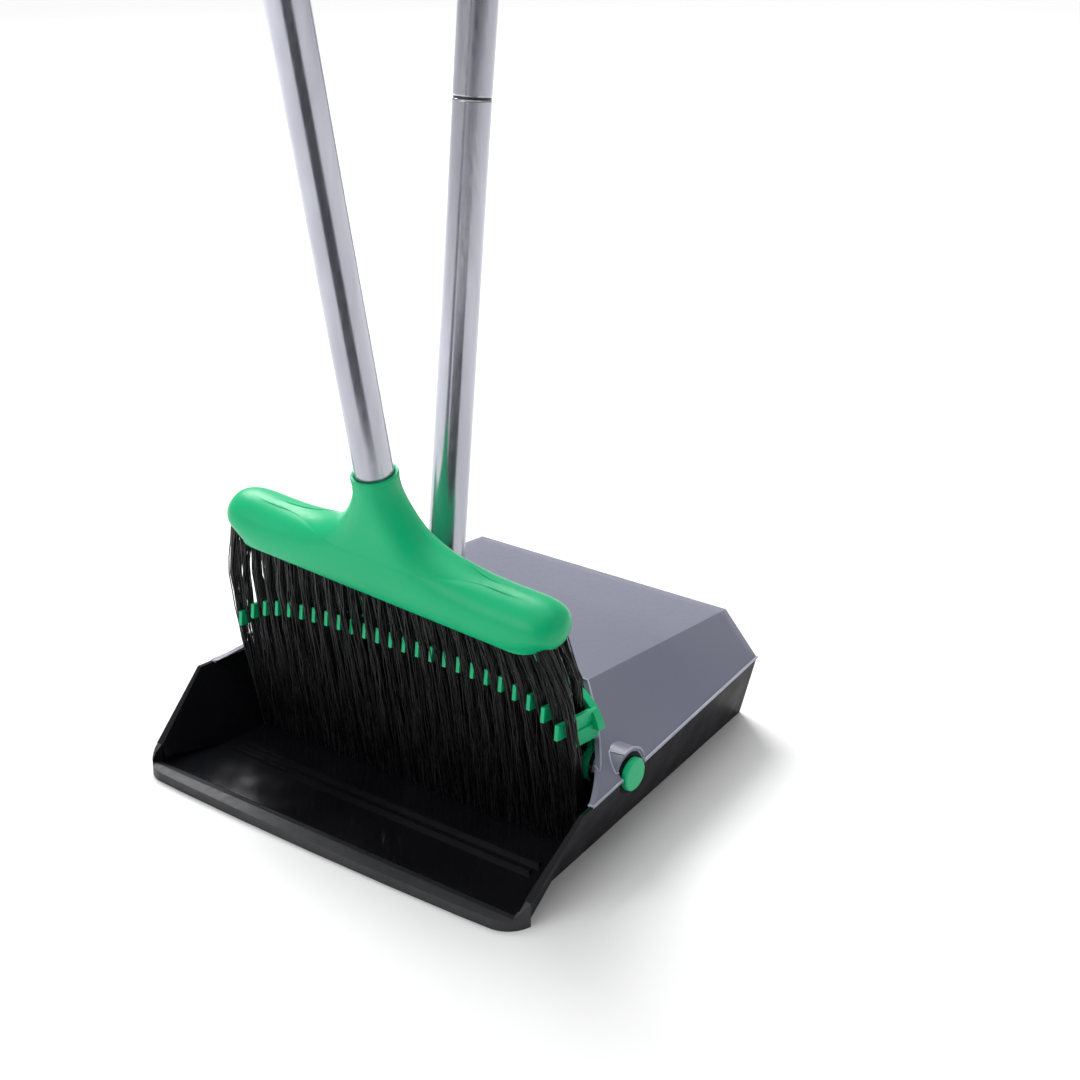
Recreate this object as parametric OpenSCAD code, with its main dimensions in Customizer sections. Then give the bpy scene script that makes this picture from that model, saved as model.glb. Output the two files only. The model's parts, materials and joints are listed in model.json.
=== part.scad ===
// Long handled dust pan with a hood and a comb, and a broom that stands in it.
// Millimetres. +X is the pan's right, +Y its back, +Z up; the origin is on the floor
// at the middle of the pan's flat underside. Angles are degrees.

/* [Pan] */
// Front lip to rear wall, along the floor
pan_depth = 287; // [240:1:330]
// Half width of the tray's front edge, at the lip's corners
lip_half = 142; // [110:1:160]
// Half width of the tray's bottom where the hood starts
floor_half_front = 125.5; // [100:0.5:150]
// Half width of the tray's bottom at the rear
floor_half_rear = 109; // [90:1:130]
// Half width of the seam at the hood's front tips
seam_half_front = 146; // [115:1:170]
// Half width of the seam at the rear
seam_half_rear = 125; // [100:1:150]
// Height of the seam between tray and hood
seam_z = 49; // [38:1:60]
// Distance of the hood's front tips behind the lip
tip_y = 55; // [42:1:68]
// How far the rear wall leans in at the seam
rear_lean = 11; // [4:1:16]
// Wall thickness of the tray
wall = 2.6; // [1.8:0.1:3.5]

/* [Lip] */
// Front to back size of the lip strip
lip_deep = 14; // [9:1:20]
// Height of the lip strip
lip_high = 6.4; // [4:0.2:8]
// How far the lip bows forward at its middle
lip_bow = 3; // [0:0.5:6]

/* [Hood] */
// Hood wall thickness
hood_wall = 2; // [1.4:0.1:3]
// Half width of the hood's flat top
shoulder_half = 98; // [80:1:115]
// Height of the hood's top at its front rim
hood_front_z = 86; // [75:1:100]
// Height of the hood's top at the rear
hood_rear_z = 73; // [62:1:85]
// Radius of the arc that cuts the hood's front rim
rim_r = 122.8; // [100:0.2:150]
// Width of the notch at the middle of the rim
notch_w = 26; // [18:1:34]
// Depth of the notch
notch_d = 21; // [12:1:28]

/* [Pivot and yoke] */
// Distance of the pivot behind the lip
pivot_y = 111; // [90:1:130]
// Height of the pivot above the floor
pivot_z = 47; // [38:1:56]
// Pivot pin radius
pin_r = 4; // [3:0.1:5]
// Radius of the round button over each pivot
button_r = 9.75; // [8:0.25:12]
// Thickness of the yoke's arms and arch
yoke_wall = 3.2; // [2.4:0.1:4.5]
// Half span of the yoke's arch at the pivots
arch_half = 118; // [100:0.5:130]
// Height of the arch above the pivot
arch_rise = 57.5; // [46:0.5:70]
// Half span of the comb's strip
comb_half = 127.5; // [110:1:135]
// Number of comb teeth
teeth = 25; // [15:2:31]
// Pitch of the comb teeth
tooth_pitch = 9.875; // [8:0.125:12]
// Thickness of one tooth
tooth_t = 2.4; // [2:0.1:4]
// Height of one tooth
tooth_h = 9; // [6:0.5:12]
// Reach of the teeth in front of the handle
tooth_reach = 47.5; // [40:1:52]

/* [Handles] */
// Outer diameter of the steel tubes
tube_d = 22; // [18:0.5:25]
// Wall of the steel tubes
tube_wall = 0.6; // [0.4:0.1:1.2]
// Lean of the pan's handle to the back
handle_lean = 5.9; // [0:0.1:12]
// Angle between the pan's handle and the broom
open_angle = 17.6; // [10:0.1:24]
// Distance between the two tubes when they are clipped together
tube_gap = 33; // [30:0.5:40]
// Height up the handle of the point the broom swings about
swing_s = 46.5; // [40:0.5:52]
// Height up the handle of the top of the pan's hanging cap
pan_top = 806; // [650:1:900]
// Place of the seam in the pan's tube, as a share of the handle's height
pan_seam_share = 0.44; // [0.3:0.01:0.55]
// Height of the top of the broom's hanging cap over the swing point
broom_top = 1196; // [900:1:1300]
// Place of the lower seam in the broom's tube, as a share of its height
seam_a_share = 0.383; // [0.3:0.001:0.43]
// Place of the upper seam in the broom's tube, as a share of its height
seam_b_share = 0.8; // [0.6:0.01:0.85]
// Thickness of the grip sleeves
grip_wall = 1.5; // [1:0.1:3]
// Grip sleeve length
grip_len = 48; // [30:1:90]
// How far the hanging caps stand out round the tubes
cap_proud = 1; // [0.4:0.1:2]
// Hanging cap length above the grip
cap_len = 40; // [30:1:60]
// Hanging hole radius
hang_r = 5; // [3:0.25:6]

/* [Clip] */
// Height of the clip over the swing point
clip_u = 553; // [450:1:800]
// Height of the clip
clip_h = 25; // [15:1:40]
// Wall of the clip
clip_wall = 3.4; // [2.4:0.1:5]

/* [Broom] */
// Length of the broom head
head_len = 238; // [200:1:300]
// Thickness of the broom head, front to back
head_deep = 38; // [30:0.5:38]
// Height of the head's lower edge over the swing point
head_u = 44; // [38:0.5:60]
// Height of the end lobes
lobe_h = 25; // [15:0.5:30]
// Height from the head's lower edge to the top of its socket
socket_h = 71; // [50:1:80]
// Tilt of the head, with its left end up
head_tilt = 4; // [0:0.5:6]
// Thickness of one row of tufts
tuft_deep = 7; // [4:0.5:8]
// Distance between the rows of tufts
row_gap = 8; // [6:0.5:9]
// Width of one tuft
tuft_w = 6; // [3:0.25:6.2]

/* [Hidden] */
$fn = 64;
slip = 0.05;
gap = 0.3;
hug = 0.05;
tube_r = tube_d / 2;
bore_r = tube_r + hug;
grip_d = tube_d + 2 * grip_wall;
cap_d = tube_d + 2 * cap_proud;
plug_r = tube_r - tube_wall - hug;
y0 = -pan_depth / 2;
seam_rear_y = pan_depth - rear_lean;
boss_r = button_r + 2.6;
ear_x = arch_half;
boss_in = ear_x + 0.5;
boss_out = seam_half_front - (seam_half_front - seam_half_rear)
  * (pivot_y - tip_y) / (seam_rear_y - tip_y) - 2.2;
button_h = 3.6;
seam_gap = 0.5;
broom_seam_a = broom_top * seam_a_share;
broom_seam_b = broom_top * seam_b_share;
pan_seam = pan_top * pan_seam_share;
joiner_half = 22;
ear_r = 12;
flare = (seam_half_front - floor_half_front) / seam_z;
wall_in = wall * (1 - flare);
wing_low = lip_half - 3;
wing_z = lip_high + 8;
wing_run = (seam_z - wing_z) / (tip_y - lip_deep);
strip_q = 15;
web_q = 9;
web_t = 3;
comb_end = 26;
prong_low = 20;
prong_x = 117.2;
prong_w = 4;
prong_q = 34;
rim_cy = 34.5;
rim_cz = 167.7;
notch_y = rim_cy + sqrt(rim_r * rim_r - pow(rim_cz - hood_front_z, 2));
sock_top = arch_rise + 28.5;
tube_s0 = arch_rise + 5;
pan_cap_s = pan_top - cap_len;
broom_cap_u = broom_top - cap_len;
head_top = head_u + socket_h;
tube_u0 = head_top - 34;
pocket = 10;
shell = 3;
clip_in = tube_r + slip;
jaw_in = tube_r + gap;
tip_u = -100;
floor_clear = wall + 0.4;
big = 900;
head_slope = tan(head_tilt);
head_edge = 14;
neck_r = tube_r + 2.3;
tuft_pinch = 2 * (comb_half - 18.6) / ((teeth - 2) * tooth_pitch);
bend_high = -14;
bend_low = -32;
tuft_top = head_u + 2;

// Superellipse arch: height over the springing at a distance x from the middle
function arch_h(x, a, h, n) = h * pow(max(0, 1 - pow(min(1, abs(x) / a), n)), 1 / n);
// Points of a superellipse from the right springing to the left one
function arch_pts(a, h, n) = [for (i = [0:44])
  let (t = 180 * i / 44, c = cos(t), s = sin(t))
  [a * sign(c) * pow(abs(c), 2 / n), h * pow(abs(s), 2 / n)]];

// Frames: the pan's, the handle's (x, -forward, up the handle) and the broom's
module pan_frame() {
  translate([0, y0, 0])
    children();
}
module handle_frame() {
  pan_frame()
    translate([0, pivot_y, pivot_z])
      rotate([-handle_lean, 0, 0])
        children();
}
module broom_frame() {
  handle_frame()
    translate([0, -tube_gap, swing_s])
      rotate([open_angle, 0, 0])
        children();
}
// Lays a drawing in x and height flat against the handle, from q0 to q1 forward
module slab(q0, q1) {
  translate([0, -q0, 0])
    rotate([90, 0, 0])
      linear_extrude(height = q1 - q0)
        children();
}
// Sets a drawing in y and height across the width, from x0 to x1
module side(x0, x1) {
  translate([x0, 0, 0])
    rotate([90, 0, 90])
      linear_extrude(height = x1 - x0)
        children();
}
// Thin four-cornered layer across the width
module slice(half_a, ya, half_b, yb, z) {
  translate([0, 0, z])
    linear_extrude(height = 0.01)
      polygon([[-half_a, ya], [half_a, ya], [half_b, yb], [-half_b, yb]]);
}

// Block on two four-cornered rings: half widths and heights at its front and its back
module block(yf, zf, half_f, yb, zb, half_b, yf2, zf2, half_f2, yb2, zb2, half_b2) {
  polyhedron(
    points = [[-half_f, yf, zf], [half_f, yf, zf], [half_b, yb, zb], [-half_b, yb, zb],
      [-half_f2, yf2, zf2], [half_f2, yf2, zf2], [half_b2, yb2, zb2], [-half_b2, yb2, zb2]],
    faces = [[0, 1, 2, 3], [7, 6, 5, 4], [0, 4, 5, 1], [1, 5, 2], [5, 6, 2], [2, 6, 7, 3],
      [3, 7, 4], [3, 4, 0]]);
}
// Tray: tub, with the two wings that run down to the lip
module tub_out() {
  block(tip_y, 0, floor_half_front, pan_depth, 0, floor_half_rear,
    tip_y, seam_z, seam_half_front, seam_rear_y, seam_z, seam_half_rear);
}
module wing_out() {
  block(lip_deep, 0, wing_low, tip_y, 0, floor_half_front,
    lip_deep, wing_z, lip_half, tip_y, seam_z, seam_half_front);
}
module tub_in() {
  block(tip_y, wall, floor_half_front - wall_in, pan_depth - wall, wall, floor_half_rear - wall_in,
    tip_y, seam_z + 3, seam_half_front - wall + flare * 3,
    seam_rear_y - wall, seam_z + 3, seam_half_rear - wall + flare * 3);
}
module wing_in() {
  block(lip_deep - 10, wall, wing_low + 1.8 - wall_in, tip_y, wall, floor_half_front - wall_in,
    lip_deep - 10, wing_z - wing_run * 10 + 3, lip_half - 2.4 - wall,
    tip_y, seam_z + 3, seam_half_front - wall + flare * 3);
}
module boss(r, x0, x1) {
  for (m = [0, 1])
    mirror([m, 0, 0])
      translate([x0, pivot_y, pivot_z])
        rotate([0, 90, 0])
          cylinder(r = r, h = x1 - x0);
}
module pan_base() {
  color([0.04, 0.04, 0.05])
    pan_frame()
      difference() {
        union() {
          difference() {
            union() {
              tub_out();
              wing_out();
            }
            tub_in();
            wing_in();
          }
          boss(boss_r, boss_in, boss_out);
          for (y = [51, 60])
            translate([-114, y - 1.4, wall - 0.4])
              cube([228, 2.8, 2.6]);
        }
        boss(pin_r + slip, boss_in - 3, boss_out + 3);
        boss(boss_r, boss_out, boss_out + 9);
      }
}

// Lip: the thick front edge of the tray
module lip_plan() {
  intersection() {
    offset(r = 18)
      offset(delta = -18)
        polygon([[-lip_half, 80], [-lip_half, 0.4], [-lip_half * 0.75, -lip_bow * 0.45],
          [-lip_half * 0.4, -lip_bow * 0.85], [0, -lip_bow], [lip_half * 0.4, -lip_bow * 0.85],
          [lip_half * 0.75, -lip_bow * 0.45], [lip_half, 0.4], [lip_half, 80]]);
    translate([-lip_half - 5, -lip_bow - 5])
      square([2 * lip_half + 10, lip_bow + 5 + lip_deep]);
  }
}
module lip_strip() {
  color([0.13, 0.13, 0.14])
    pan_frame()
      difference() {
        linear_extrude(height = wing_z)
          lip_plan();
        translate([0, lip_deep + 0.5, lip_high])
          hull() {
            translate([-lip_half + 7, -lip_deep - 12, 0])
              cube([2 * lip_half - 14, 0.01, 30]);
            translate([-lip_half + 4, 0.01, 0])
              cube([2 * lip_half - 8, 0.01, 30]);
          }
        side(-lip_half - 5, lip_half + 5)
          polygon([[-big, lip_high], [1, lip_high], [lip_deep, wing_z], [lip_deep, big], [-big, big]]);
        translate([-lip_half + 4, lip_deep - 8, lip_high])
          rotate([-27, 0, 0])
            cube([2 * lip_half - 8, 20, 12]);
      }
}

// Hood: the raised cover, its flange on the seam, rim and notch
module hood_body(t, lift) {
  hull() {
    slice(seam_half_front - t, tip_y - 2 - 4 * t, seam_half_rear - t, seam_rear_y - t, seam_z - lift);
    translate([0, 0, -t])
      hull() {
        translate([-shoulder_half + t / 2, pan_depth - 6 - t, hood_rear_z])
          cube([2 * shoulder_half - t, 0.01, 0.01]);
        translate([-shoulder_half + t / 2, 70 - 6 * t, hood_front_z
          + (hood_front_z - hood_rear_z) * 58 / 153])
          cube([2 * shoulder_half - t, 0.01, 0.01]);
      }
  }
}
module pan_hood() {
  color([0.55, 0.56, 0.68, 0.75])
    pan_frame()
      difference() {
        union() {
          hood_body(0, 0);
          boss(boss_r + gap + 2.2, boss_out - 16, boss_out - 0.4);
        }
        difference() {
          hood_body(hood_wall, 0.5);
          boss(boss_r + gap + 2.2, boss_out - 16, boss_out + 1);
        }
        boss(boss_r + gap, boss_in - 3, boss_out + 9);
        translate([-big / 2, rim_cy, rim_cz])
          rotate([0, 90, 0])
            cylinder(r = rim_r, h = big, $fn = 128);
        translate([0, notch_y + notch_d - notch_w / 2, hood_front_z - 30])
          cylinder(d = notch_w, h = 60);
        translate([-notch_w / 2, notch_y - 30, hood_front_z - 30])
          cube([notch_w, 30 + notch_d - notch_w / 2, 60]);
        translate([-big / 2, -big / 2, seam_z - 60])
          cube([big, big, 60]);
      }
}

// Yoke: two arms, the arch and the comb strip with its teeth
module arm_side() {
  polygon([[11, -2], [6, 12], [-2, 20], [-5, 26], [-2, 36], [-2, 40], [8, 48], [8, 62],
    [-strip_q, 62], [-strip_q, 48], [-12, 40], [-9, 26], [-8, 18], [-7.5, 12], [-11, 4], [-11, -2]]);
  circle(r = ear_r);
}
module band(a, h, n, t) {
  difference() {
    polygon(arch_pts(a, h, n));
    polygon(concat([[a - t, -1]], arch_pts(a - t, h - t, n), [[t - a, -1]]));
  }
}
module yoke_comb() {
  color([0.1, 0.66, 0.45])
    handle_frame()
      difference() {
        union() {
          intersection() {
            slab(-14, strip_q)
              band(arch_half, arch_rise, 2.4, yoke_wall);
            side(-big / 2, big / 2)
              arm_side();
          }
          for (m = [0, 1])
            mirror([m, 0, 0])
              translate([arch_half - 6, 0, 0])
                rotate([0, 90, 0])
                  cylinder(r = ear_r, h = 6);
          intersection() {
            slab(web_q, strip_q)
              band(comb_half, arch_rise, 3.5, yoke_wall + 0.8);
            translate([-big / 2, -big / 2, comb_end])
              cube([big, big, big]);
          }
          intersection() {
            slab(web_q, web_q + web_t)
              difference() {
                polygon(arch_pts(comb_half, arch_rise, 3.5));
                polygon(arch_pts(arch_half - yoke_wall, arch_rise - yoke_wall, 2.4));
              }
            translate([-big / 2, -big / 2, comb_end])
              cube([big, big, big]);
          }
          for (i = [0:teeth - 1])
            let (x = (i - (teeth - 1) / 2) * tooth_pitch,
              s = arch_h(x, comb_half, arch_rise, 3.5))
              translate([x - tooth_t / 2, -tooth_reach, s - tooth_h])
                cube([tooth_t, tooth_reach - strip_q + 4, tooth_h]);
          for (m = [0, 1])
            mirror([m, 0, 0])
              translate([prong_x, -prong_q, prong_low])
                cube([prong_w, prong_q - web_q, tooth_h]);
        }
        for (m = [0, 1])
          mirror([m, 0, 0])
            translate([arch_half - 20, 0, 0])
              rotate([0, 90, 0])
                cylinder(r = pin_r, h = 40);
      }
}
module yoke_socket() {
  color([0.1, 0.66, 0.45])
    handle_frame()
      difference() {
        union() {
          translate([0, 0, arch_rise])
            cylinder(r1 = 17, r2 = tube_r + 3.5, h = 9);
          translate([0, 0, arch_rise + 9])
            cylinder(r = tube_r + 3.5, h = sock_top - arch_rise - 9);
        }
        translate([0, 0, tube_s0])
          cylinder(r = bore_r, h = 80);
        translate([-big / 2, 8, arch_rise - 1])
          cube([big, 20, 5]);
      }
}
module socket_latch() {
  color([0.08, 0.55, 0.38])
    handle_frame()
      difference() {
        translate([-8, -(tube_r + 6.2), arch_rise])
          cube([16, 4.5, 17]);
        translate([0, 0, arch_rise - 1])
          cylinder(r1 = 17.4, r2 = tube_r + 3.5, h = 10);
        translate([0, 0, arch_rise + 8.9])
          cylinder(r = tube_r + 3.5, h = 20);
        for (x = [-4.5, 2.5])
          translate([x, -30, arch_rise + 5])
            cube([2, 30, 9]);
      }
}
module pin(side_x) {
  handle_frame()
    mirror([side_x, 0, 0])
      translate([arch_half - 6, 0, 0])
        rotate([0, 90, 0])
          cylinder(r = pin_r, h = boss_out + gap + 2 - arch_half + 6);
}
module button(side_x) {
  handle_frame()
    mirror([side_x, 0, 0])
      difference() {
        translate([boss_out + gap, 0, 0])
          rotate([0, 90, 0])
            rotate_extrude()
              polygon([[0, 0], [button_r, 0], [button_r, button_h - 0.8],
                [button_r - 0.8, button_h], [0, button_h]]);
        translate([boss_out, 0, 0])
          rotate([0, 90, 0])
            cylinder(r = pin_r, h = gap + 2);
      }
}
module pivot_pin_left() {
  color([0.6, 0.6, 0.62])
    pin(1);
}
module pivot_pin_right() {
  color([0.6, 0.6, 0.62])
    pin(0);
}
module pivot_cap_left() {
  color([0.1, 0.66, 0.45])
    button(1);
}
module pivot_cap_right() {
  color([0.1, 0.66, 0.45])
    button(0);
}

// Tube sections, the plugs that join them, grips and hanging caps
module tube(z0, z1) {
  difference() {
    translate([0, 0, z0])
      cylinder(r = tube_r, h = z1 - z0);
    translate([0, 0, z0 - 1])
      cylinder(r = tube_r - tube_wall, h = z1 - z0 + 2);
  }
}
module joiner(z) {
  rotate_extrude()
    polygon([[0, z - joiner_half], [plug_r - 1, z - joiner_half], [plug_r, z - joiner_half + 1],
      [plug_r, z - seam_gap], [tube_r - 0.5, z - seam_gap], [tube_r - 0.5, z + seam_gap],
      [plug_r, z + seam_gap], [plug_r, z + joiner_half - 1], [plug_r - 1, z + joiner_half],
      [0, z + joiner_half]]);
}
module grip(z) {
  difference() {
    rotate_extrude()
      polygon([[bore_r, z], [grip_d / 2 - 0.8, z], [grip_d / 2, z + 1], [grip_d / 2, z + grip_len - 1],
        [grip_d / 2 - 0.8, z + grip_len], [bore_r, z + grip_len]]);
    for (k = [0:5])
      translate([0, 0, z + 8 + k * 6])
        rotate_extrude()
          translate([grip_d / 2 + 0.3, 0])
            circle(r = 0.9, $fn = 16);
  }
}
module hanger(z, turn) {
  difference() {
    union() {
      translate([0, 0, z - 16])
        cylinder(r = plug_r, h = 16);
      translate([0, 0, z])
        cylinder(d = cap_d, h = 11);
      intersection() {
        union() {
          translate([0, 0, z])
            cylinder(d = cap_d, h = cap_len - cap_d / 2);
          translate([0, 0, z + cap_len - cap_d / 2])
            sphere(d = cap_d);
        }
        rotate([0, 0, turn])
          translate([-cap_d, -7.5, z])
            cube([2 * cap_d, 15, cap_len + 5]);
      }
    }
    translate([0, 0, z + cap_len - cap_d / 2])
      rotate([0, 0, turn])
        rotate([90, 0, 0])
          cylinder(r = hang_r, h = 60, center = true);
  }
}
module dustpan_tube_lower() {
  color([0.75, 0.76, 0.8])
    handle_frame()
      tube(tube_s0 + 0.2, pan_seam - seam_gap);
}
module dustpan_tube_joiner() {
  color([0.3, 0.3, 0.32])
    handle_frame()
      joiner(pan_seam);
}
module dustpan_tube_upper() {
  color([0.75, 0.76, 0.8])
    handle_frame()
      tube(pan_seam + seam_gap, pan_cap_s);
}
module dustpan_grip() {
  color([0.05, 0.05, 0.05])
    handle_frame()
      grip(pan_cap_s - grip_len);
}
module dustpan_hanger_cap() {
  color([0.1, 0.66, 0.45])
    handle_frame()
      hanger(pan_cap_s, 90);
}

// Clip: a sleeve round the broom's tube and an open jaw for the pan's tube
module handle_clip() {
  color([0.1, 0.66, 0.45])
    broom_frame()
      translate([0, 0, clip_u])
        difference() {
          union() {
            cylinder(r = clip_in + clip_wall, h = clip_h);
            translate([-jaw_in - clip_wall, 0, 0])
              cube([2 * (jaw_in + clip_wall), tube_gap + 6, clip_h]);
          }
          translate([0, 0, -1])
            cylinder(r = clip_in, h = clip_h + 2);
          translate([0, tube_gap, -1])
            cylinder(r = jaw_in, h = clip_h + 2);
          translate([-jaw_in, tube_gap, -1])
            cube([2 * jaw_in, 30, clip_h + 2]);
          for (m = [0, 1])
            mirror([m, 0, 0])
              translate([jaw_in + clip_wall, tube_gap / 2 - 1, -1])
                cylinder(r = 6, h = clip_h + 2);
        }
}

// Broom head: three outlines crossed, then the socket and the pocket cut out
module head_front() {
  half = head_len / 2;
  rise = head_u + lobe_h;
  right = [[half - 14, head_u], [half - 5, head_u + 1.5], [half - 1, head_u + 6],
    [half, head_u + 12], [half - 2, head_u + 18], [half - 8, rise - 2.2], [half - 18, rise],
    [78, rise], [60, rise + 1.2], [45, rise + 4], [33, rise + 8.5], [25, rise + 14.5],
    [19, rise + 22], [neck_r + 2, rise + 31], [neck_r, rise + 38], [neck_r, head_top]];
  left = [for (i = [len(right) - 1:-1:0]) [-right[i][0], right[i][1]]];
  polygon([for (p = concat(right, left))
    [p[0], p[1] - p[0] * head_slope * max(0, min(1, (head_top - 8 - p[1]) / 20))]]);
}
module head_side() {
  t = head_deep / 2;
  back = [[t - 2, head_u], [t, head_u + 3], [t, head_u + 15], [t - 2.5, head_u + 22],
    [t - 4, head_u + 28], [neck_r + 0.6, head_u + 43], [neck_r, head_u + 53],
    [neck_r, head_top + 9]];
  polygon(concat(back, [for (i = [len(back) - 1:-1:0]) [-back[i][0], back[i][1]]]));
}
// Drops the right end and lifts the left one
module tilted() {
  multmatrix([[1, 0, 0, 0], [0, 1, 0, 0], [-head_slope, 0, 1, 0], [0, 0, 0, 1]])
    children();
}
module head_plan(inset, r) {
  offset(r = r)
    square([head_len - 2 * (inset + r), head_deep - 2 * (inset + r)], center = true);
}
module broom_head() {
  color([0.1, 0.66, 0.45])
    broom_frame()
      difference() {
        intersection() {
          slab(-head_deep / 2, head_deep / 2)
            head_front();
          tilted()
            side(-head_len / 2, head_len / 2)
              head_side();
          union() {
            tilted()
              translate([0, 0, head_u])
                linear_extrude(height = 2 * lobe_h)
                  head_plan(0, head_edge);
            cylinder(r = neck_r, h = head_top);
          }
        }
        translate([0, 0, tube_u0])
          cylinder(r = bore_r, h = 80);
        tilted()
          translate([0, 0, head_u - 1])
            linear_extrude(height = pocket + 1)
              head_plan(shell, 10);
      }
}
module tuft_block() {
  color([0.03, 0.03, 0.03])
    broom_frame()
      tilted()
        translate([0, 0, tuft_top])
          linear_extrude(height = pocket - 2)
            head_plan(shell + 0.1, 10);
}

// Bristles: one tuft in each gap of the comb, in three rows
module tuft_plan(x) {
  k = tuft_pinch;
  top = tuft_top - 0.92 * x * head_slope;
  half = tuft_w / 2;
  polygon([[x * 0.92 - half, top + half * head_slope], [x - half, 16], [x - half, bend_high],
    [x * k - half, bend_low], [x * k - half, tip_u], [x * k + half, tip_u],
    [x * k + half, bend_low], [x + half, bend_high], [x + half, 16],
    [x * 0.92 + half, top - half * head_slope]]);
}
module tuft_row(w) {
  lean = w * 0.5 / (tuft_top - tip_u);
  intersection() {
    broom_frame()
      multmatrix([[1, 0, 0, 0], [0, 1, lean, -w - lean * tuft_top], [0, 0, 1, 0], [0, 0, 0, 1]])
        slab(-tuft_deep / 2, tuft_deep / 2)
          for (j = [0:teeth - 2])
            tuft_plan((j + 0.5 - (teeth - 1) / 2) * tooth_pitch);
    translate([-big / 2, -big / 2, floor_clear])
      cube([big, big, big]);
  }
}
module bristles_front() {
  color([0.05, 0.05, 0.05])
    tuft_row(row_gap);
}
module bristles_middle() {
  color([0.04, 0.04, 0.04])
    tuft_row(0);
}
module bristles_rear() {
  color([0.05, 0.05, 0.05])
    tuft_row(-row_gap);
}
module broom_tube_lower() {
  color([0.75, 0.76, 0.8])
    broom_frame()
      tube(tube_u0 + 0.2, broom_seam_a - seam_gap);
}
module broom_joiner_lower() {
  color([0.3, 0.3, 0.32])
    broom_frame()
      joiner(broom_seam_a);
}
module broom_tube_middle() {
  color([0.75, 0.76, 0.8])
    broom_frame()
      tube(broom_seam_a + seam_gap, broom_seam_b - seam_gap);
}
module broom_joiner_upper() {
  color([0.3, 0.3, 0.32])
    broom_frame()
      joiner(broom_seam_b);
}
module broom_tube_upper() {
  color([0.75, 0.76, 0.8])
    broom_frame()
      tube(broom_seam_b + seam_gap, broom_cap_u);
}
module broom_grip() {
  color([0.05, 0.05, 0.05])
    broom_frame()
      grip(broom_cap_u - grip_len);
}
module broom_hanger_cap() {
  color([0.1, 0.66, 0.45])
    broom_frame()
      hanger(broom_cap_u, 0);
}

pan_base();
lip_strip();
pan_hood();
yoke_comb();
yoke_socket();
socket_latch();
pivot_pin_left();
pivot_pin_right();
pivot_cap_left();
pivot_cap_right();
dustpan_tube_lower();
dustpan_tube_joiner();
dustpan_tube_upper();
dustpan_grip();
dustpan_hanger_cap();
handle_clip();
broom_head();
tuft_block();
bristles_front();
bristles_middle();
bristles_rear();
broom_tube_lower();
broom_joiner_lower();
broom_tube_middle();
broom_joiner_upper();
broom_tube_upper();
broom_grip();
broom_hanger_cap();
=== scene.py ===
"""Dust pan and brush set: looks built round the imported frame.

Metres, +Z up, and the pan's mouth faces -Y.
"""
import json
import math

import bmesh
import bpy
import numpy as np
from mathutils import Matrix, Vector


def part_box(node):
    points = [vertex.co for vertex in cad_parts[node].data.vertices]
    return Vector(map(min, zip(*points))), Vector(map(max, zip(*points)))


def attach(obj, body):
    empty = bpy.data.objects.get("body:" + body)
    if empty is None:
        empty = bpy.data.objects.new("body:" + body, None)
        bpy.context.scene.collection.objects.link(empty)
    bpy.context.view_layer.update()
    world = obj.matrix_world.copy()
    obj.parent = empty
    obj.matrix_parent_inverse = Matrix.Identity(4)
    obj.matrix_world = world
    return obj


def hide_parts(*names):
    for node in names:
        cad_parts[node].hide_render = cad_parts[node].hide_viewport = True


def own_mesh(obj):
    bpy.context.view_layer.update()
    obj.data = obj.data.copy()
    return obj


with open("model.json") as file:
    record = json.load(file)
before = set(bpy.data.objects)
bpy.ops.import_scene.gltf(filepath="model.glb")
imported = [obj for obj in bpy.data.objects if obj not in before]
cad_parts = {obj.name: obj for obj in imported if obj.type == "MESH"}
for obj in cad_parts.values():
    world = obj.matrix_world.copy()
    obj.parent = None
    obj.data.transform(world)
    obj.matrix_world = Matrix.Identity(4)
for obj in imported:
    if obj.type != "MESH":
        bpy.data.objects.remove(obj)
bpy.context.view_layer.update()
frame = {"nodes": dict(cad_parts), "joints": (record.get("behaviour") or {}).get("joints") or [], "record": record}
joints = {j["name"]: j for j in frame["joints"]}
mounts = {m["name"]: m for m in frame["record"]["mounts"]}
MM = 0.001
WELD = 2e-6                      # corners of a CAD solid nearer than this are one
FLAT = math.radians(0.6)         # faces that turn less than this are one flat face
UP, SIDE, BACK = 2, 0, 1         # axes of a local frame, for span()


# ---------------------------------------------------------------- places taken from the frame
def axes_at(origin, up):
    """Matrix of a frame whose Z is up and whose -Y looks forward, to the mouth."""
    z = Vector(up).normalized()
    x = Vector((1, 0, 0))
    y = z.cross(x).normalized()
    m = Matrix((x, y, z)).transposed().to_4x4()
    m.translation = Vector(origin)
    return m


PIVOT = Vector(joints["handle_fold"]["pos_m"])
HANDLE = axes_at(PIVOT, Vector(mounts["dustpan_hang_hole"]["pos_m"]) - PIVOT)
BROOM = axes_at(joints["broom_swing"]["pos_m"], joints["broom_lift"]["axis"])
TO_HANDLE = HANDLE.inverted()
TO_BROOM = BROOM.inverted()


def local_vertices(node, to_local):
    """The CAD node's corners in a local frame, as an array."""
    corners = np.array([v.co for v in frame["nodes"][node].data.vertices], float).reshape(-1, 3)
    m = np.array(to_local)
    return corners @ m[:3, :3].T + m[:3, 3]


def span(node, to_local, axis=UP):
    """Lowest and highest place of a node along an axis of a local frame."""
    v = local_vertices(node, to_local)
    return v[:, axis].min(), v[:, axis].max()


ON_HANDLE = (HANDLE, TO_HANDLE, "dustpan_handle")
ON_BROOM = (BROOM, TO_BROOM, "broom")


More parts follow.
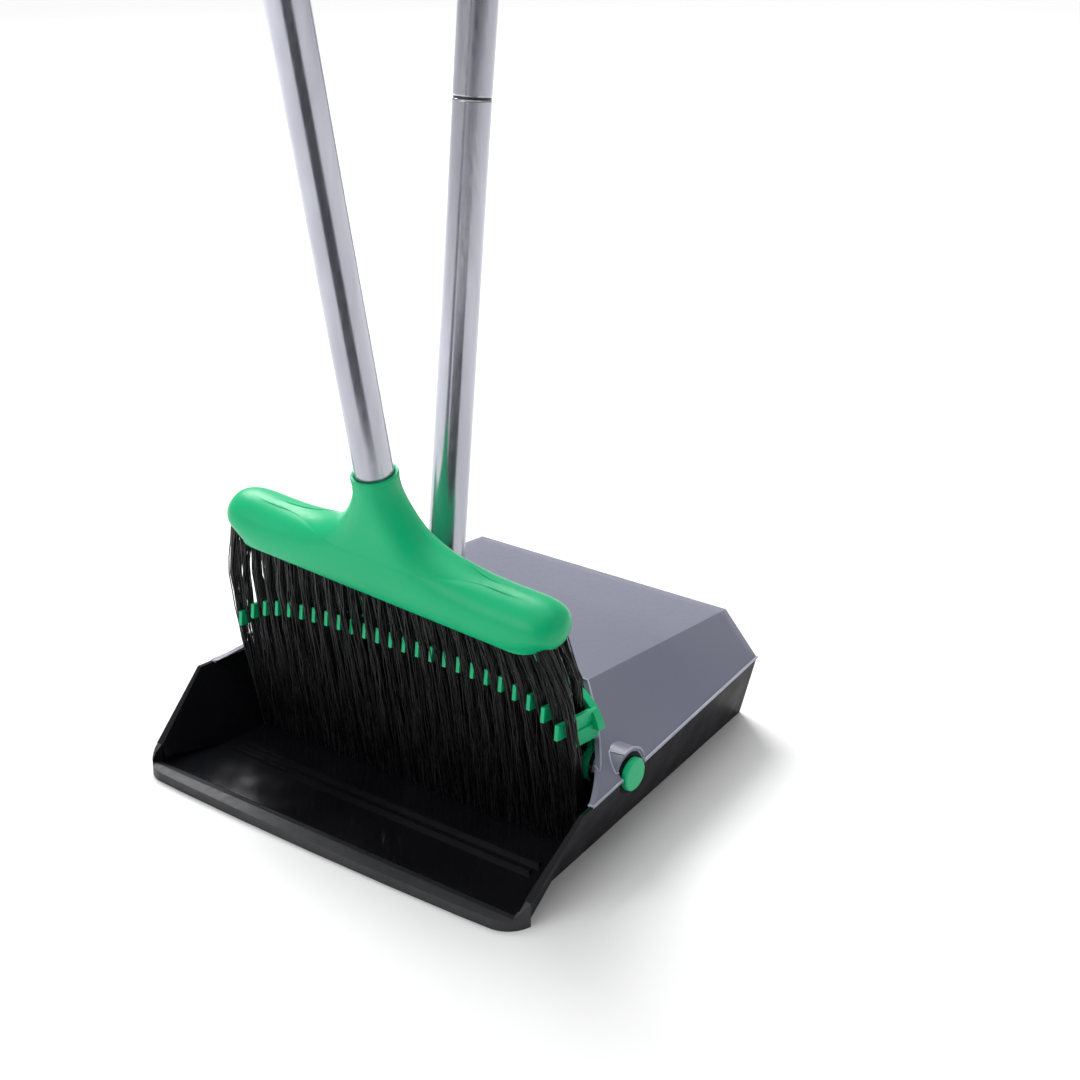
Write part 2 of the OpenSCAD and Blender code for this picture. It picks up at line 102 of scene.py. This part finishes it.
# ---------------------------------------------------------------- materials
class Look:
    """A Principled material with a few helpers for noise-driven colour, roughness and bump."""

    RAMP = (0.35, 0.65)          # the part of the noise that a ramp stretches over its two ends

    def __init__(self, name, colour, rough, metal=0.0):
        self.mat = bpy.data.materials.new(name)
        self.mat.use_nodes = True
        self.nodes = self.mat.node_tree.nodes
        self.links = self.mat.node_tree.links
        self.shader = self.nodes["Principled BSDF"]
        self.set("Base Color", (*colour, 1))
        self.set("Roughness", rough)
        self.set("Metallic", metal)
        self.place = self.nodes.new("ShaderNodeTexCoord").outputs["Object"]

    def set(self, socket, value):
        self.shader.inputs[socket].default_value = value

    def noise(self, scale, detail=4.0, stretch=(1, 1, 1)):
        mapping = self.nodes.new("ShaderNodeMapping")
        mapping.inputs["Scale"].default_value = stretch
        self.links.new(self.place, mapping.inputs["Vector"])
        tex = self.nodes.new("ShaderNodeTexNoise")
        tex.inputs["Scale"].default_value = scale
        tex.inputs["Detail"].default_value = detail
        self.links.new(mapping.outputs["Vector"], tex.inputs["Vector"])
        return tex.outputs["Fac"]

    def vary(self, fac, socket, low, high):
        """Lets fac move a number socket between low and high, or a colour between two colours."""
        ramp = self.nodes.new("ShaderNodeValToRGB")
        for element, at, value in zip(ramp.color_ramp.elements, self.RAMP, (low, high)):
            element.position = at
            element.color = (*value, 1) if isinstance(value, tuple) else (value, value, value, 1)
        self.links.new(fac, ramp.inputs["Fac"])
        self.links.new(ramp.outputs["Color"], self.shader.inputs[socket])

    def bump(self, fac, strength, depth=0.0002):
        node = self.nodes.new("ShaderNodeBump")
        node.inputs["Strength"].default_value = strength
        node.inputs["Distance"].default_value = depth
        self.links.new(fac, node.inputs["Height"])
        self.links.new(node.outputs["Normal"], self.shader.inputs["Normal"])


def green_plastic():
    look = Look("green_plastic", (0.004, 0.47, 0.19), 0.38)
    look.vary(look.noise(9, 2), "Base Color", (0.0035, 0.44, 0.178), (0.005, 0.5, 0.205))
    look.vary(look.noise(260, 3), "Roughness", 0.33, 0.42)
    look.bump(look.noise(900, 2), 0.12, 0.00008)
    look.set("Specular IOR Level", 0.28)
    return look.mat


def pan_black(name="pan_black", rough=0.14, gloss=0.3):
    look = Look(name, (0.006, 0.006, 0.008), rough)
    look.vary(look.noise(14, 3), "Base Color", (0.005, 0.005, 0.007), (0.009, 0.009, 0.012))
    look.vary(look.noise(60, 5), "Roughness", rough - 0.03, rough + 0.05)
    look.bump(look.noise(420, 2), 0.05, 0.00006)
    look.set("Specular IOR Level", gloss)
    return look.mat


def lip_grey():
    look = Look("lip_grey", (0.022, 0.022, 0.025), 0.55)
    look.vary(look.noise(25, 4), "Base Color", (0.018, 0.018, 0.02), (0.027, 0.027, 0.031))
    look.vary(look.noise(180, 3), "Roughness", 0.48, 0.62)
    look.bump(look.noise(1300, 2), 0.3, 0.0001)
    return look.mat


def hood_clear():
    look = Look("hood_clear", (0.22, 0.225, 0.3), 0.34)
    look.vary(look.noise(6, 2), "Base Color", (0.205, 0.21, 0.285), (0.235, 0.24, 0.315))
    look.vary(look.noise(300, 3), "Roughness", 0.3, 0.4)
    look.bump(look.noise(1500, 2), 0.1, 0.00006)
    look.set("Alpha", 0.8)
    look.set("Specular IOR Level", 0.45)
    return look.mat


def hood_edge():
    look = Look("hood_edge", (0.4, 0.41, 0.5), 0.3)
    look.vary(look.noise(40, 3), "Base Color", (0.37, 0.38, 0.47), (0.44, 0.45, 0.55))
    look.bump(look.noise(900, 2), 0.1, 0.00005)
    look.set("Alpha", 0.9)
    return look.mat


def silver_tube():
    look = Look("silver_tube", (0.42, 0.425, 0.48), 0.2, 0.9)
    along = (1, 1, 0.05)
    look.vary(look.noise(160, 3, along), "Base Color", (0.395, 0.4, 0.455), (0.445, 0.45, 0.505))
    look.vary(look.noise(500, 3, (1, 1, 0.15)), "Roughness", 0.17, 0.25)
    look.bump(look.noise(1800, 2), 0.08, 0.00005)
    return look.mat


def plain_black(name, rough, scale, strength):
    look = Look(name, (0.012, 0.012, 0.013), rough)
    look.vary(look.noise(30, 3), "Base Color", (0.009, 0.009, 0.01), (0.018, 0.018, 0.019))
    look.vary(look.noise(160, 3), "Roughness", rough - 0.06, rough + 0.07)
    look.bump(look.noise(scale, 2), strength, 0.0001)
    return look.mat


def bristle_black():
    look = Look("bristle_black", (0.01, 0.01, 0.011), 0.42)
    along = (1, 1, 0.12)
    look.vary(look.noise(220, 3, along), "Base Color", (0.006, 0.006, 0.007), (0.02, 0.02, 0.022))
    look.vary(look.noise(90, 3), "Roughness", 0.34, 0.5)
    return look.mat


def pin_steel():
    look = Look("pin_steel", (0.55, 0.55, 0.57), 0.28, 0.9)
    look.vary(look.noise(300, 3, (0.1, 1, 1)), "Roughness", 0.24, 0.36)
    return look.mat


MATS = {
    "green_plastic": green_plastic(),
    "pan_black": pan_black(),
    "lip_grey": lip_grey(),
    "hood_clear": hood_clear(),
    "silver_tube": silver_tube(),
    "black_plastic": plain_black("black_plastic", 0.4, 700, 0.15),
    "grip_black": plain_black("grip_black", 0.6, 1400, 0.35),
    "bristle_black": bristle_black(),
    "pin_steel": pin_steel(),
}
EDGE = hood_edge()
PAN_OUTSIDE = pan_black("pan_black_outside", rough=0.42, gloss=0.04)


# ---------------------------------------------------------------- pieces
def add_object(name, data):
    """Puts a mesh, curve, light or camera into the scene."""
    obj = bpy.data.objects.new(name, data)
    bpy.context.collection.objects.link(obj)
    return obj


def piece(name, mesh, body, slot, nodes=()):
    """Adds a mesh as a piece that rides on a body and stands for some CAD nodes."""
    obj = add_object(name, mesh)
    mesh.materials.clear()
    mesh.materials.append(MATS[slot])
    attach(obj, body)
    if nodes:
        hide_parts(*nodes)
    return obj


def mesh_from(name, verts, faces):
    mesh = bpy.data.meshes.new(name)
    mesh.from_pydata([tuple(v) for v in verts], [], faces)
    mesh.update()
    mesh.shade_smooth()
    return mesh


def welded(mesh):
    """The mesh as a bmesh, with double corners joined and the triangles of flat faces merged."""
    bm = bmesh.new()
    bm.from_mesh(mesh)
    bmesh.ops.remove_doubles(bm, verts=bm.verts, dist=WELD)
    bmesh.ops.dissolve_limit(bm, angle_limit=FLAT, verts=bm.verts, edges=bm.edges)
    return bm


def refined(node, body, slot, bevel, sharp=34, segments=2):
    """The node's own solid with its sharp edges rounded, so that they catch the light."""
    mesh = frame["nodes"][node].data.copy()
    bm = welded(mesh)
    edges = [e for e in bm.edges if len(e.link_faces) == 2
             and e.calc_face_angle(0) > math.radians(sharp)]
    bmesh.ops.bevel(bm, geom=edges, offset=bevel, segments=segments, profile=0.5,
                    affect="EDGES", clamp_overlap=True)
    bmesh.ops.triangulate(bm, faces=[f for f in bm.faces if len(f.verts) > 4])
    bm.to_mesh(mesh)
    bm.free()
    mesh.shade_smooth()
    mesh.set_sharp_from_angle(angle=math.radians(40))
    obj = piece("skin_" + node, mesh, body, slot, [node])
    flatten = obj.modifiers.new("flat_faces", "WEIGHTED_NORMAL")
    flatten.weight = 100
    flatten.keep_sharp = True
    return obj


def lathe(name, profile, place, body, slot, nodes=()):
    """Turns a profile of (radius, height) round the local Z of a frame."""
    turns = 56
    verts = []
    for r, z in profile:
        for k in range(turns):
            a = 2 * math.pi * k / turns
            verts.append(place @ Vector((r * math.cos(a), r * math.sin(a), z)))
    faces = []
    for i in range(len(profile) - 1):
        for k in range(turns):
            n = (k + 1) % turns
            low, high = i * turns, (i + 1) * turns
            faces.append((low + k, low + n, high + n, high + k))
    mesh = mesh_from(name, verts, faces)
    mesh.set_sharp_from_angle(angle=math.radians(50))
    return piece(name, mesh, body, slot, nodes)


def tube_sections():
    """The steel tube sections, each with a soft rolled end beside its seam."""
    wall, step, dip = 1.0 * MM, 0.5 * MM, 0.1 * MM
    hold = 2.4 * step
    parts = 6
    for node, (place, to_local, body) in (
        ("dustpan_tube_lower", ON_HANDLE),
        ("dustpan_tube_upper", ON_HANDLE),
        ("broom_tube_lower", ON_BROOM),
        ("broom_tube_middle", ON_BROOM),
        ("broom_tube_upper", ON_BROOM),
    ):
        low, high = span(node, to_local)
        r = span(node, to_local, SIDE)[1]
        profile = [(r - wall, low), (r - step, low + dip), (r, low + 2 * step), (r, low + hold)]
        profile += [(r, low + (high - low) * k / parts) for k in range(1, parts)]
        profile += [(r, high - hold), (r, high - 2 * step), (r - step, high - dip),
                    (r - wall, high)]
        lathe("skin_" + node, profile, place, body, "silver_tube", [node])


def grips():
    """Soft sleeves with fine ribs and a rolled lip at each end."""
    lip, roll, band = 0.5 * MM, 0.8 * MM, 4 * MM
    ribs, rib_steps, rib_deep = 11, 6, 0.45 * MM
    for node, (place, to_local, body) in (("dustpan_grip", ON_HANDLE), ("broom_grip", ON_BROOM)):
        low, high = span(node, to_local)
        r = span(node, to_local, SIDE)[1]
        inner = r - 1.4 * MM
        profile = [(inner, low), (r - lip, low), (r, low + roll), (r, low + band)]
        rib_low, rib_high = low + 5 * MM, high - 5 * MM
        for k in range(ribs * rib_steps + 1):
            z = rib_low + (rib_high - rib_low) * k / (ribs * rib_steps)
            profile.append((r - rib_deep * (1 - math.cos(2 * math.pi * k / rib_steps)) / 2, z))
        profile += [(r, high - band), (r, high - roll), (r - lip, high), (inner, high)]
        lathe("skin_" + node, profile, place, body, "grip_black", [node])


# ---------------------------------------------------------------- hood edges
def bead(name, paths, radius):
    """A thin rounded edge that follows open paths of points."""
    curve = bpy.data.curves.new(name, "CURVE")
    curve.dimensions = "3D"
    curve.bevel_depth = radius
    curve.bevel_resolution = 2
    curve.use_fill_caps = True
    for path in paths:
        spline = curve.splines.new("POLY")
        spline.points.add(len(path) - 1)
        for point, at in zip(spline.points, path):
            point.co = (*at, 1)
    obj = add_object(name, curve)
    curve.materials.append(EDGE)
    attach(obj, "pan")


def chains(edges):
    """Joins edges into open paths of points."""
    left = {e: None for e in edges}
    paths = []
    while left:
        e = next(iter(left))
        del left[e]
        path = [e.verts[0], e.verts[1]]
        for grow_end in (True, False):
            while True:
                tip = path[-1] if grow_end else path[0]
                follow = next((f for f in tip.link_edges if f in left), None)
                if follow is None:
                    break
                del left[follow]
                other = follow.other_vert(tip)
                path = path + [other] if grow_end else [other] + path
        paths.append([v.co.copy() for v in path])
    return paths


def hood_edges():
    """The lighter lines of the hood: its front rim with the notch, and its flange on the seam."""
    bm = welded(frame["nodes"]["pan_hood"].data)
    seam_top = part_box("pan_hood")[0].z + 1 * MM
    rim_back = 12 * MM
    rim, seam = [], []
    for e in bm.edges:
        if len(e.link_faces) != 2:
            continue
        normals = [f.normal for f in e.link_faces]
        middle = (e.verts[0].co + e.verts[1].co) / 2
        down = [n for n in normals if n.z < -0.9]
        other = [n for n in normals if n.z > -0.9]
        outward = Vector((middle.x, max(0.0, middle.y + 0.09), 0.02))
        if down and other and middle.z < seam_top and other[0].dot(outward) > 0.01:
            seam.append(e)
        cut = [n for n in normals if n.y < -0.2 and n.z < 0.9]
        cut = cut or [n for n in normals if abs(n.z) < 0.05]
        skin = [n for n in normals if n.z > 0.35 and n not in cut]
        if cut and skin and middle.y < rim_back and middle.z > seam_top:
            rim.append(e)
    bead("hood_rim_bead", chains(rim), 0.0007)
    bead("hood_seam_bead", chains(seam), 0.0009)
    bm.free()


# ---------------------------------------------------------------- broom head
HEAD_LOW, HEAD_HIGH = span("broom_head", TO_BROOM)
HEAD_HALF = span("broom_head", TO_BROOM, SIDE)[1]
HEAD_DEEP = span("broom_head", TO_BROOM, BACK)[1]
NECK = 13.3 * MM                                  # radius of the socket
TILT = math.tan(math.radians(4))                  # slope of the head's long edges
HEAD_FOOT = HEAD_LOW + (HEAD_HALF - 14 * MM) * TILT  # height of the foot at the middle


def smooth_path(points, count):
    """Catmull-Rom curve through points, resampled at equal steps."""
    steps = 24
    p = np.array([points[0]] + list(points) + [points[-1]], float)
    fine = []
    for i in range(1, len(p) - 2):
        for t in np.linspace(0, 1, steps, endpoint=False):
            a, b, c, d = p[i - 1], p[i], p[i + 1], p[i + 2]
            fine.append(0.5 * (2 * b + (c - a) * t + (2 * a - 5 * b + 4 * c - d) * t * t
                               + (3 * b - a - 3 * c + d) * t ** 3))
    fine.append(p[-2])
    fine = np.array(fine)
    run = np.concatenate([[0], np.cumsum(np.linalg.norm(np.diff(fine, axis=0), axis=1))])
    want = np.linspace(0, run[-1], count)
    return np.stack([np.interp(want, run, fine[:, k]) for k in range(fine.shape[1])], 1)


def broom_head():
    """Swooping shell: its outline rises from the lobes to the socket, and the faces bulge.

    It is laid out in millimetres, with x sideways, u up the broom and w front to back.
    """
    outline_points, distance_points, columns, smoothing = 130, 1500, 90, 24
    half = HEAD_HALF / MM
    top = (HEAD_HIGH - HEAD_FOOT) / MM
    control = [
        (half - 9, 0), (half - 3.5, 2.4), (half, 10.5), (half - 2, 18.5), (half - 9, 24),
        (half - 22, 25.4), (82, 25), (62, 25.6), (46, 28.4), (34, 33.4), (25.5, 40.5), (19.5, 49),
        (15.4, 57), (13.6, 63.5), (13.3, top)]
    outline = smooth_path(control, outline_points)
    s = np.sin(np.linspace(-math.pi / 2, math.pi / 2, columns))
    x = outline[:, 0][:, None] * s[None, :]
    u = np.repeat(outline[:, 1][:, None], columns, 1)
    edge = smooth_path(control, distance_points)
    d = np.full(x.shape, np.inf)
    for px, pu in np.concatenate([edge, edge * [-1, 1]]):
        d = np.minimum(d, np.hypot(x - px, u - pu))
    deep = HEAD_DEEP / MM
    flat = np.interp(u, [0, 4, 15, 26, 37, 47, 57, top],
                     [deep - 1.4, deep, deep, deep - 2.6, deep - 4.6, 13.9, 13.3, 13.3])
    round_r = np.interp(u, [0, 15, 26, 43, 57, top], [16, 15, 13.3, 13.3, 13.3, 13.3])
    near = np.clip(d / round_r, 0, 1)
    w = flat * np.sqrt(np.clip(1 - (1 - near) ** 2, 0, 1))
    w[:, 0] = w[:, -1] = 0
    for _ in range(smoothing):
        w[1:-1, 1:-1] = (w[1:-1, 1:-1] + w[:-2, 1:-1] + w[2:, 1:-1]
                         + w[1:-1, :-2] + w[1:-1, 2:]) / 5
    u = u - x * TILT * np.clip((top - 8 - u) / 20, 0, 1)
    verts, faces = [], []
    rows = len(outline)

    def place(px, py, pu):
        return BROOM @ (Vector((px, py, pu)) * MM + Vector((0, 0, HEAD_FOOT)))

    def add(face_sign):
        first = len(verts)
        for i in range(rows):
            for j in range(columns):
                verts.append(place(x[i, j], face_sign * w[i, j], u[i, j]))
        for i in range(rows - 1):
            for j in range(columns - 1):
                a = first + i * columns + j
                quad = (a, a + 1, a + 1 + columns, a + columns)
                faces.append(quad if face_sign < 0 else quad[::-1])
        return first

    front, back = add(-1), add(1)
    rim, lift = 3.0, 2.6
    shrink = (x[0, -1] - rim) / x[0, -1]
    for base, sign in ((front, -1), (back, 1)):
        inner = []
        for level in (0, lift):
            ring = []
            for j in range(columns):
                px = x[0, j] * shrink
                ring.append(len(verts))
                verts.append(place(px, sign * max(0, w[0, j] - rim), level - px * TILT))
            inner.append(ring)
        for j in range(columns - 1):
            outer = (base + j, base + j + 1)
            for pair, ring in ((outer, inner[0]), ((inner[0][j], inner[0][j + 1]), inner[1])):
                quad = (pair[0], ring[j], ring[j + 1], pair[1])
                faces.append(quad if sign < 0 else quad[::-1])
    mesh = mesh_from("head_shell", verts, faces)
    bm = bmesh.new()
    bm.from_mesh(mesh)
    bmesh.ops.remove_doubles(bm, verts=bm.verts, dist=2e-5)
    bmesh.ops.recalc_face_normals(bm, faces=bm.faces)
    bm.to_mesh(mesh)
    bm.free()
    mesh.shade_smooth()
    mesh.set_sharp_from_angle(angle=math.radians(55))
    piece("head_shell", mesh, "broom", "green_plastic", ["broom_head"])
    rolled = NECK + 0.25 * MM
    rim_profile = [
        (11.2 * MM, HEAD_HIGH - 8 * MM), (11.2 * MM, HEAD_HIGH + 0.1 * MM),
        (11.8 * MM, HEAD_HIGH + 0.7 * MM), (13.1 * MM, HEAD_HIGH + 0.7 * MM),
        (rolled, HEAD_HIGH), (rolled, HEAD_HIGH - 2.2 * MM), (NECK, HEAD_HIGH - 2.8 * MM)]
    lathe("head_socket_rim", rim_profile, BROOM, "broom", "green_plastic")


# ---------------------------------------------------------------- bristles
def tuft_columns():
    """Middles of the comb's gaps, found from the tufts' solids at comb height."""
    comb_height, near = 16 * MM, 0.5 * MM
    v = local_vertices("bristles_middle", TO_BROOM)
    level = v[np.abs(v[:, UP] - comb_height) < near][:, SIDE]
    level = np.unique(np.round(level, 5))
    return [(level[k] + level[k + 1]) / 2 for k in range(0, len(level) - 1, 2)]


OUTER_TUFT = 122.6 * MM          # place of the front row's end tufts, outside the comb's end teeth
BLOCK_PULL = 0.085               # how much narrower the tuft block is than its solid
ROOT_REACH = HEAD_HALF - 6 * MM  # furthest place of a root inside the head
STRANDS = 36                     # filaments in each column
COMB_AT = 0.23                   # share of a filament's length from its root to the comb


def filaments(node, outside, seed):
    """Wavy filaments of one row, drawn as fine three-sided tubes that end unevenly at the floor.

    The row that is outside has end tufts beyond the comb, and flares out between comb and floor.
    """
    rng = np.random.default_rng(seed)
    strands = STRANDS
    w_low, w_high = span(node, TO_BROOM, BACK)
    top = HEAD_FOOT + 5 * MM
    columns = np.array(tuft_columns())
    if outside:
        columns = np.concatenate([[-OUTER_TUFT], columns, [OUTER_TUFT]])
    n = len(columns) * strands
    centre = np.repeat(columns, strands)
    w_mid = (w_low + w_high) / 2
    steps = 13
    t = np.linspace(0, 1, steps)[None, :]
    down = np.clip((t - COMB_AT) / (1 - COMB_AT), 0, 1)
    x_root = np.clip(centre * 0.92 + rng.uniform(-4.6, 4.6, n) * MM, -ROOT_REACH, ROOT_REACH)
    x_comb = centre + rng.uniform(-2.9, 2.9, n) * MM
    reach = 119 * MM if outside else 110 * MM
    x_tip = np.clip(centre * (1.02 if outside else 1.0) + rng.normal(0, 4.2, n) * MM, -reach, reach)
    w_root = w_mid + rng.uniform(-3.3, 3.3, n) * MM
    w_tip = w_mid * 1.35 + rng.normal(0, 2.6, n) * MM
    x = np.where(t < COMB_AT, x_root[:, None] + (x_comb - x_root)[:, None] * t / COMB_AT,
                 x_comb[:, None] + (x_tip - x_comb)[:, None] * down ** 1.1)
    if outside:
        flare = np.clip(np.abs(centre) / (118 * MM), 0, 1) ** 6 * np.sign(centre) * 3.5 * MM
        x = x + flare[:, None] * np.sin(np.clip((t - 0.25) / 0.75, 0, 1) * math.pi)
    w = w_root[:, None] + (w_tip - w_root)[:, None] * t ** 1.2
    floor_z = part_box("bristles_middle")[0].z
    place = np.array(BROOM)
    z_tip = floor_z + rng.exponential(1.6, n) * MM
    u_tip = (z_tip - place[2, 3] - place[2, 1] * w_tip) / place[2, 2]
    u_top = top - x_root * TILT
    u = u_top[:, None] + (u_tip - u_top)[:, None] * t
    wave = rng.uniform(0, 2 * math.pi, (2, n))
    tuft_wave = np.repeat(rng.uniform(0, 2 * math.pi, len(columns)), strands)
    pitch = rng.uniform(15, 24, n) * MM
    size = (0.25 + 0.75 * t) * MM
    turns = u / pitch[:, None] * 2 * math.pi
    x = x + 0.75 * size * np.sin(turns + wave[0][:, None] * 0.4 + tuft_wave[:, None])
    w = w + 0.75 * size * np.sin(turns + wave[1][:, None])
    taper = np.linspace(0.43, 0.3, steps)[None, :] * MM
    radius = taper * rng.uniform(0.85, 1.15, n)[:, None]
    turn = rng.uniform(0, 2 * math.pi, n)[:, None]
    corners = []
    for k in range(3):
        a = turn + 2 * math.pi * k / 3
        corners.append(np.stack([x + radius * np.cos(a), w + radius * np.sin(a), u], -1))
    local = np.stack(corners, 2).reshape(-1, 3)
    verts = local @ place[:3, :3].T + place[:3, 3]
    verts[:, 2] = np.maximum(verts[:, 2], floor_z)
    one = []
    for i in range(steps - 1):
        for k in range(3):
            k2 = (k + 1) % 3
            one.append((i * 3 + k, (i + 1) * 3 + k, (i + 1) * 3 + k2, i * 3 + k2))
    one = np.array(one)
    faces = (one[None] + (np.arange(n) * steps * 3)[:, None, None]).reshape(-1, 4)
    mesh = bpy.data.meshes.new("skin_" + node)
    mesh.vertices.add(len(verts))
    mesh.vertices.foreach_set("co", verts.ravel())
    mesh.loops.add(faces.size)
    mesh.loops.foreach_set("vertex_index", faces.ravel().astype(np.int32))
    mesh.polygons.add(len(faces))
    mesh.polygons.foreach_set("loop_start", np.arange(0, faces.size, 4, dtype=np.int32))
    mesh.update(calc_edges=True)
    mesh.validate()
    mesh.shade_smooth()
    obj = piece("skin_" + node, mesh, "broom", "bristle_black", [node])
    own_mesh(obj)


# ---------------------------------------------------------------- studio
def floor():
    """Pale floor that glows a little further out, so that it stays white round the object."""
    bpy.ops.mesh.primitive_plane_add(size=60)
    plane = bpy.context.object
    plane.name = "studio_floor"
    look = Look("studio_floor", (0.93, 0.93, 0.93), 0.85)
    look.vary(look.noise(3, 2), "Base Color", (0.92, 0.92, 0.92), (0.94, 0.94, 0.94))
    look.set("Emission Color", (1, 1, 1, 1))
    away = look.nodes.new("ShaderNodeVectorMath")
    away.operation = "LENGTH"
    glow = look.nodes.new("ShaderNodeMapRange")
    begins, full, strength = 0.45, 1.7, 0.5
    for socket, value in zip(("From Min", "From Max", "To Min", "To Max"),
                             (begins, full, 0.0, strength)):
        glow.inputs[socket].default_value = value
    look.links.new(look.place, away.inputs[0])
    look.links.new(away.outputs["Value"], glow.inputs["Value"])
    look.links.new(glow.outputs["Result"], look.shader.inputs["Emission Strength"])
    plane.data.materials.append(look.mat)


def area_light(name, where, aim, size, power, gloss=1.0):
    light = bpy.data.lights.new(name, "AREA")
    light.shape = "RECTANGLE"
    light.size, light.size_y = size
    light.energy = power
    light.specular_factor = gloss
    obj = add_object(name, light)
    obj.location = where
    obj.rotation_euler = (Vector(aim) - Vector(where)).to_track_quat("-Z", "Y").to_euler()


def flag():
    """A dark card on the floor, seen only in reflections, for the tubes' dark stripe."""
    near, far, first, last, lift = 0.42, 2.6, 14, 66, 0.002
    corners = [(near, first), (near, last), (far, last), (far, first)]
    verts = [(r * math.sin(math.radians(a)), -r * math.cos(math.radians(a)), lift)
             for r, a in corners]
    card = add_object("studio_flag", mesh_from("studio_flag", verts, [(0, 1, 2, 3)]))
    look = Look("studio_flag", (0.02, 0.02, 0.025), 0.9)
    card.data.materials.append(look.mat)
    card.visible_camera = False
    card.visible_diffuse = False
    card.visible_shadow = False


def lights():
    """Soft key from behind on the left, and a room that is dark on the right."""
    area_light("key", (-1.5, 0.9, 2.0), (0, 0, 0.15), (1.3, 1.3), 60, 0.45)
    area_light("top", (0.1, 0.2, 2.6), (0, 0, 0), (2.6, 2.6), 22)
    area_light("front", (-0.9, -2.3, 1.5), (0, 0, 0.2), (1.6, 1.2), 16, 0.15)
    world = bpy.data.worlds.new("studio")
    bpy.context.scene.world = world
    world.use_nodes = True
    nodes, links = world.node_tree.nodes, world.node_tree.links
    background = nodes["Background"]
    background.inputs["Strength"].default_value = 0.5
    place = nodes.new("ShaderNodeTexCoord")
    toward = nodes.new("ShaderNodeVectorMath")
    toward.operation = "DOT_PRODUCT"
    toward.inputs[1].default_value = (0.85, -0.5, 0.1)
    ramp = nodes.new("ShaderNodeValToRGB")
    light_end, dark_end = ramp.color_ramp.elements
    light_end.position, light_end.color = 0.66, (1, 1, 1, 1)
    dark_end.position, dark_end.color = 0.86, (0.04, 0.04, 0.05, 1)
    links.new(place.outputs["Generated"], toward.inputs[0])
    links.new(toward.outputs["Value"], ramp.inputs["Fac"])
    links.new(ramp.outputs["Color"], background.inputs["Color"])
    bpy.context.scene.view_settings.view_transform = "Standard"


def camera():
    """Right and in front of the pan, looking down at it, as a product shot is taken."""
    azimuth, elevation, roll = (math.radians(a) for a in (35.9, 23.0, 0.62))
    back = Vector((math.sin(azimuth) * math.cos(elevation),
                   -math.cos(azimuth) * math.cos(elevation), math.sin(elevation)))
    target, distance = Vector((0.047, 0.0056, 0.152)), 1.045
    cam = bpy.data.cameras.new("camera")
    cam.sensor_width = 36
    cam.lens = 60.1
    obj = add_object("camera", cam)
    turned = back.to_track_quat("Z", "Y").to_matrix() @ Matrix.Rotation(roll, 3, "Z")
    obj.matrix_world = Matrix.Translation(target + back * distance) @ turned.to_4x4()
    bpy.context.scene.camera = obj


def tray():
    """The tray has a duller black on its outer walls than on its inside."""
    obj = refined("pan_base", "pan", "pan_black", 0.0011, 20, 3)
    obj.data.materials.append(PAN_OUTSIDE)
    for face in obj.data.polygons:
        side_wall = face.normal.x * face.center.x > 0 and abs(face.normal.x) > 0.6
        rear_wall = face.normal.y > 0.6 and face.center.y > 0.1
        if side_wall or rear_wall:
            face.material_index = 1


def block():
    """The tuft block, a little narrower than its solid and tilted with the head."""
    obj = refined("tuft_block", "broom", "black_plastic", 0.0005)
    for vertex in obj.data.vertices:
        pulled = vertex.co.x * BLOCK_PULL
        vertex.co.z += pulled * TILT
        vertex.co.x -= pulled


# node, body, slot, width of the rounding, and where they differ from the usual ones: the angle
# in degrees from which an edge is sharp, and the steps of the rounding
REFINED = (
    ("lip_strip", "pan", "lip_grey", 0.0014, 20, 3),
    ("pan_hood", "pan", "hood_clear", 0.0009, 15, 3),
    ("yoke_comb", "dustpan_handle", "green_plastic", 0.0005),
    ("yoke_socket", "dustpan_handle", "green_plastic", 0.0005),
    ("socket_latch", "dustpan_handle", "green_plastic", 0.0004),
    ("pivot_cap_left", "dustpan_handle", "green_plastic", 0.0003),
    ("pivot_pin_left", "dustpan_handle", "pin_steel", 0.0003),
    ("pivot_cap_right", "dustpan_handle", "green_plastic", 0.0003),
    ("pivot_pin_right", "dustpan_handle", "pin_steel", 0.0003),
    ("dustpan_hanger_cap", "dustpan_handle", "green_plastic", 0.0009, 34, 3),
    ("broom_hanger_cap", "broom", "green_plastic", 0.0009, 34, 3),
    ("dustpan_tube_joiner", "dustpan_handle", "black_plastic", 0.0003),
    ("broom_joiner_lower", "broom", "black_plastic", 0.0003),
    ("broom_joiner_upper", "broom", "black_plastic", 0.0003),
    ("handle_clip", "clip", "green_plastic", 0.0007, 34, 3),
)

tray()
for row in REFINED:
    refined(*row)
block()
hood_edges()
tube_sections()
grips()
broom_head()
filaments("bristles_front", True, 11)
filaments("bristles_middle", False, 12)
filaments("bristles_rear", False, 13)
floor()
flag()
lights()
camera()
